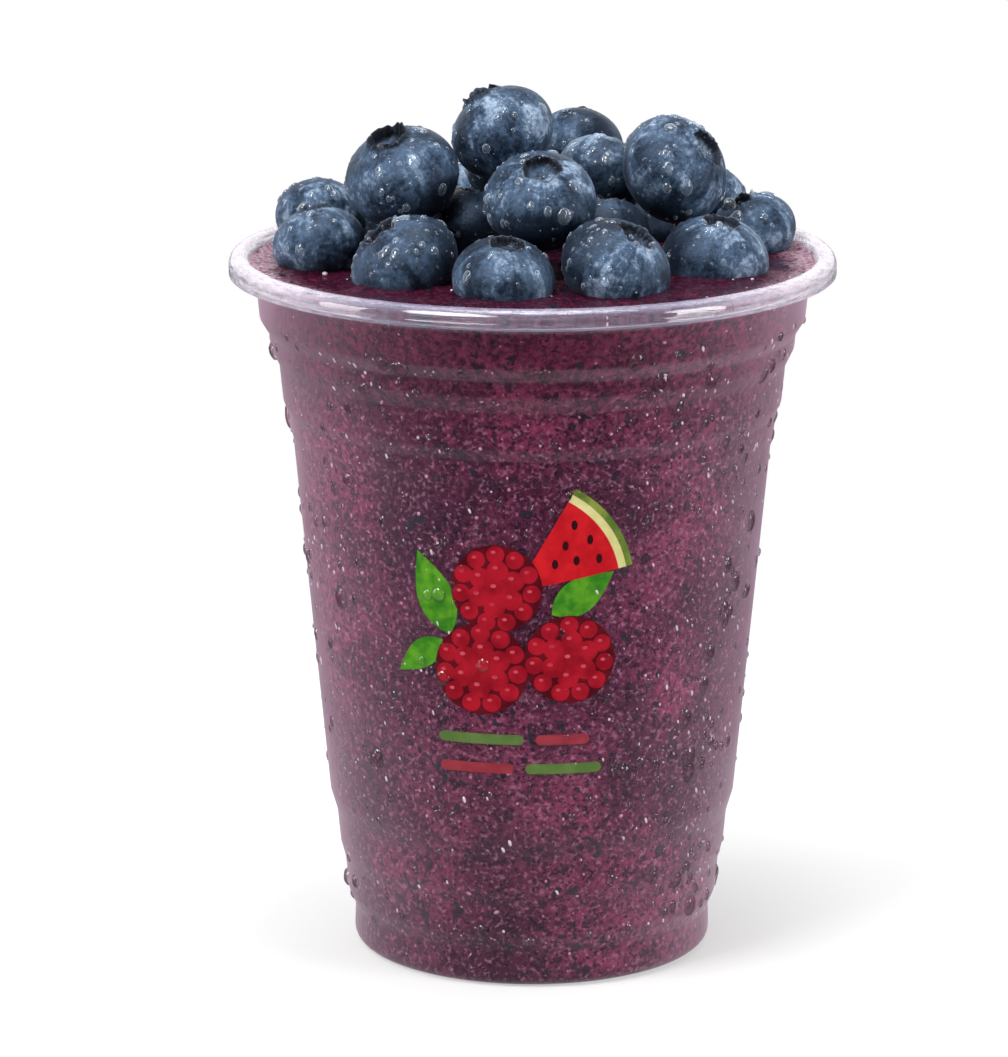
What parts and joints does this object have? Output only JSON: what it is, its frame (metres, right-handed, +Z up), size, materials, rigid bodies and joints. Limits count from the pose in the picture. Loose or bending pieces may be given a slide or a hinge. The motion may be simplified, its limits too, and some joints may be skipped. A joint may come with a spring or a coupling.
{
  "type": "berry smoothie",
  "caption": "Clear disposable cup with a rolled rim and moulded steps, filled to the brim with speckled berry smoothie and heaped with whole blueberries.",
  "frame": {"origin": "centre of the cup's base, where it stands", "axes": "+Z up along the cup's axis; the front of the heap and of the print faces -Y, +X is to the viewer's right"},
  "size_m": [0.098, 0.098, 0.1415],
  "materials": {
    "cup": null,
    "smoothie": "thick blended berry smoothie, dusty purple with dark specks of skin and a wet sheen",
    "blueberry": "dark blue skin under a pale waxy bloom, beaded with water"
  },
  "bodies": {
    "root": {"blueberry_back": "blueberry", "blueberry_back_left": "blueberry", "blueberry_back_middle": "blueberry", "blueberry_back_right": "blueberry", "blueberry_far_left": "blueberry", "blueberry_far_right": "blueberry", "blueberry_front": "blueberry", "blueberry_front_left": "blueberry", "blueberry_front_right": "blueberry", "blueberry_heap_back": "blueberry", "blueberry_heap_core": "blueberry", "blueberry_heap_front": "blueberry", "blueberry_heap_left": "blueberry", "blueberry_heap_middle": "blueberry", "blueberry_heap_right": "blueberry", "blueberry_heap_top": "blueberry", "blueberry_inner_back": "blueberry", "blueberry_inner_back_right": "blueberry", "blueberry_inner_far_left": "blueberry", "blueberry_inner_left": "blueberry", "blueberry_inner_right": "blueberry", "blueberry_left": "blueberry", "blueberry_right": "blueberry", "cup": "cup", "smoothie": "smoothie"}
  },
  "joints": []
}
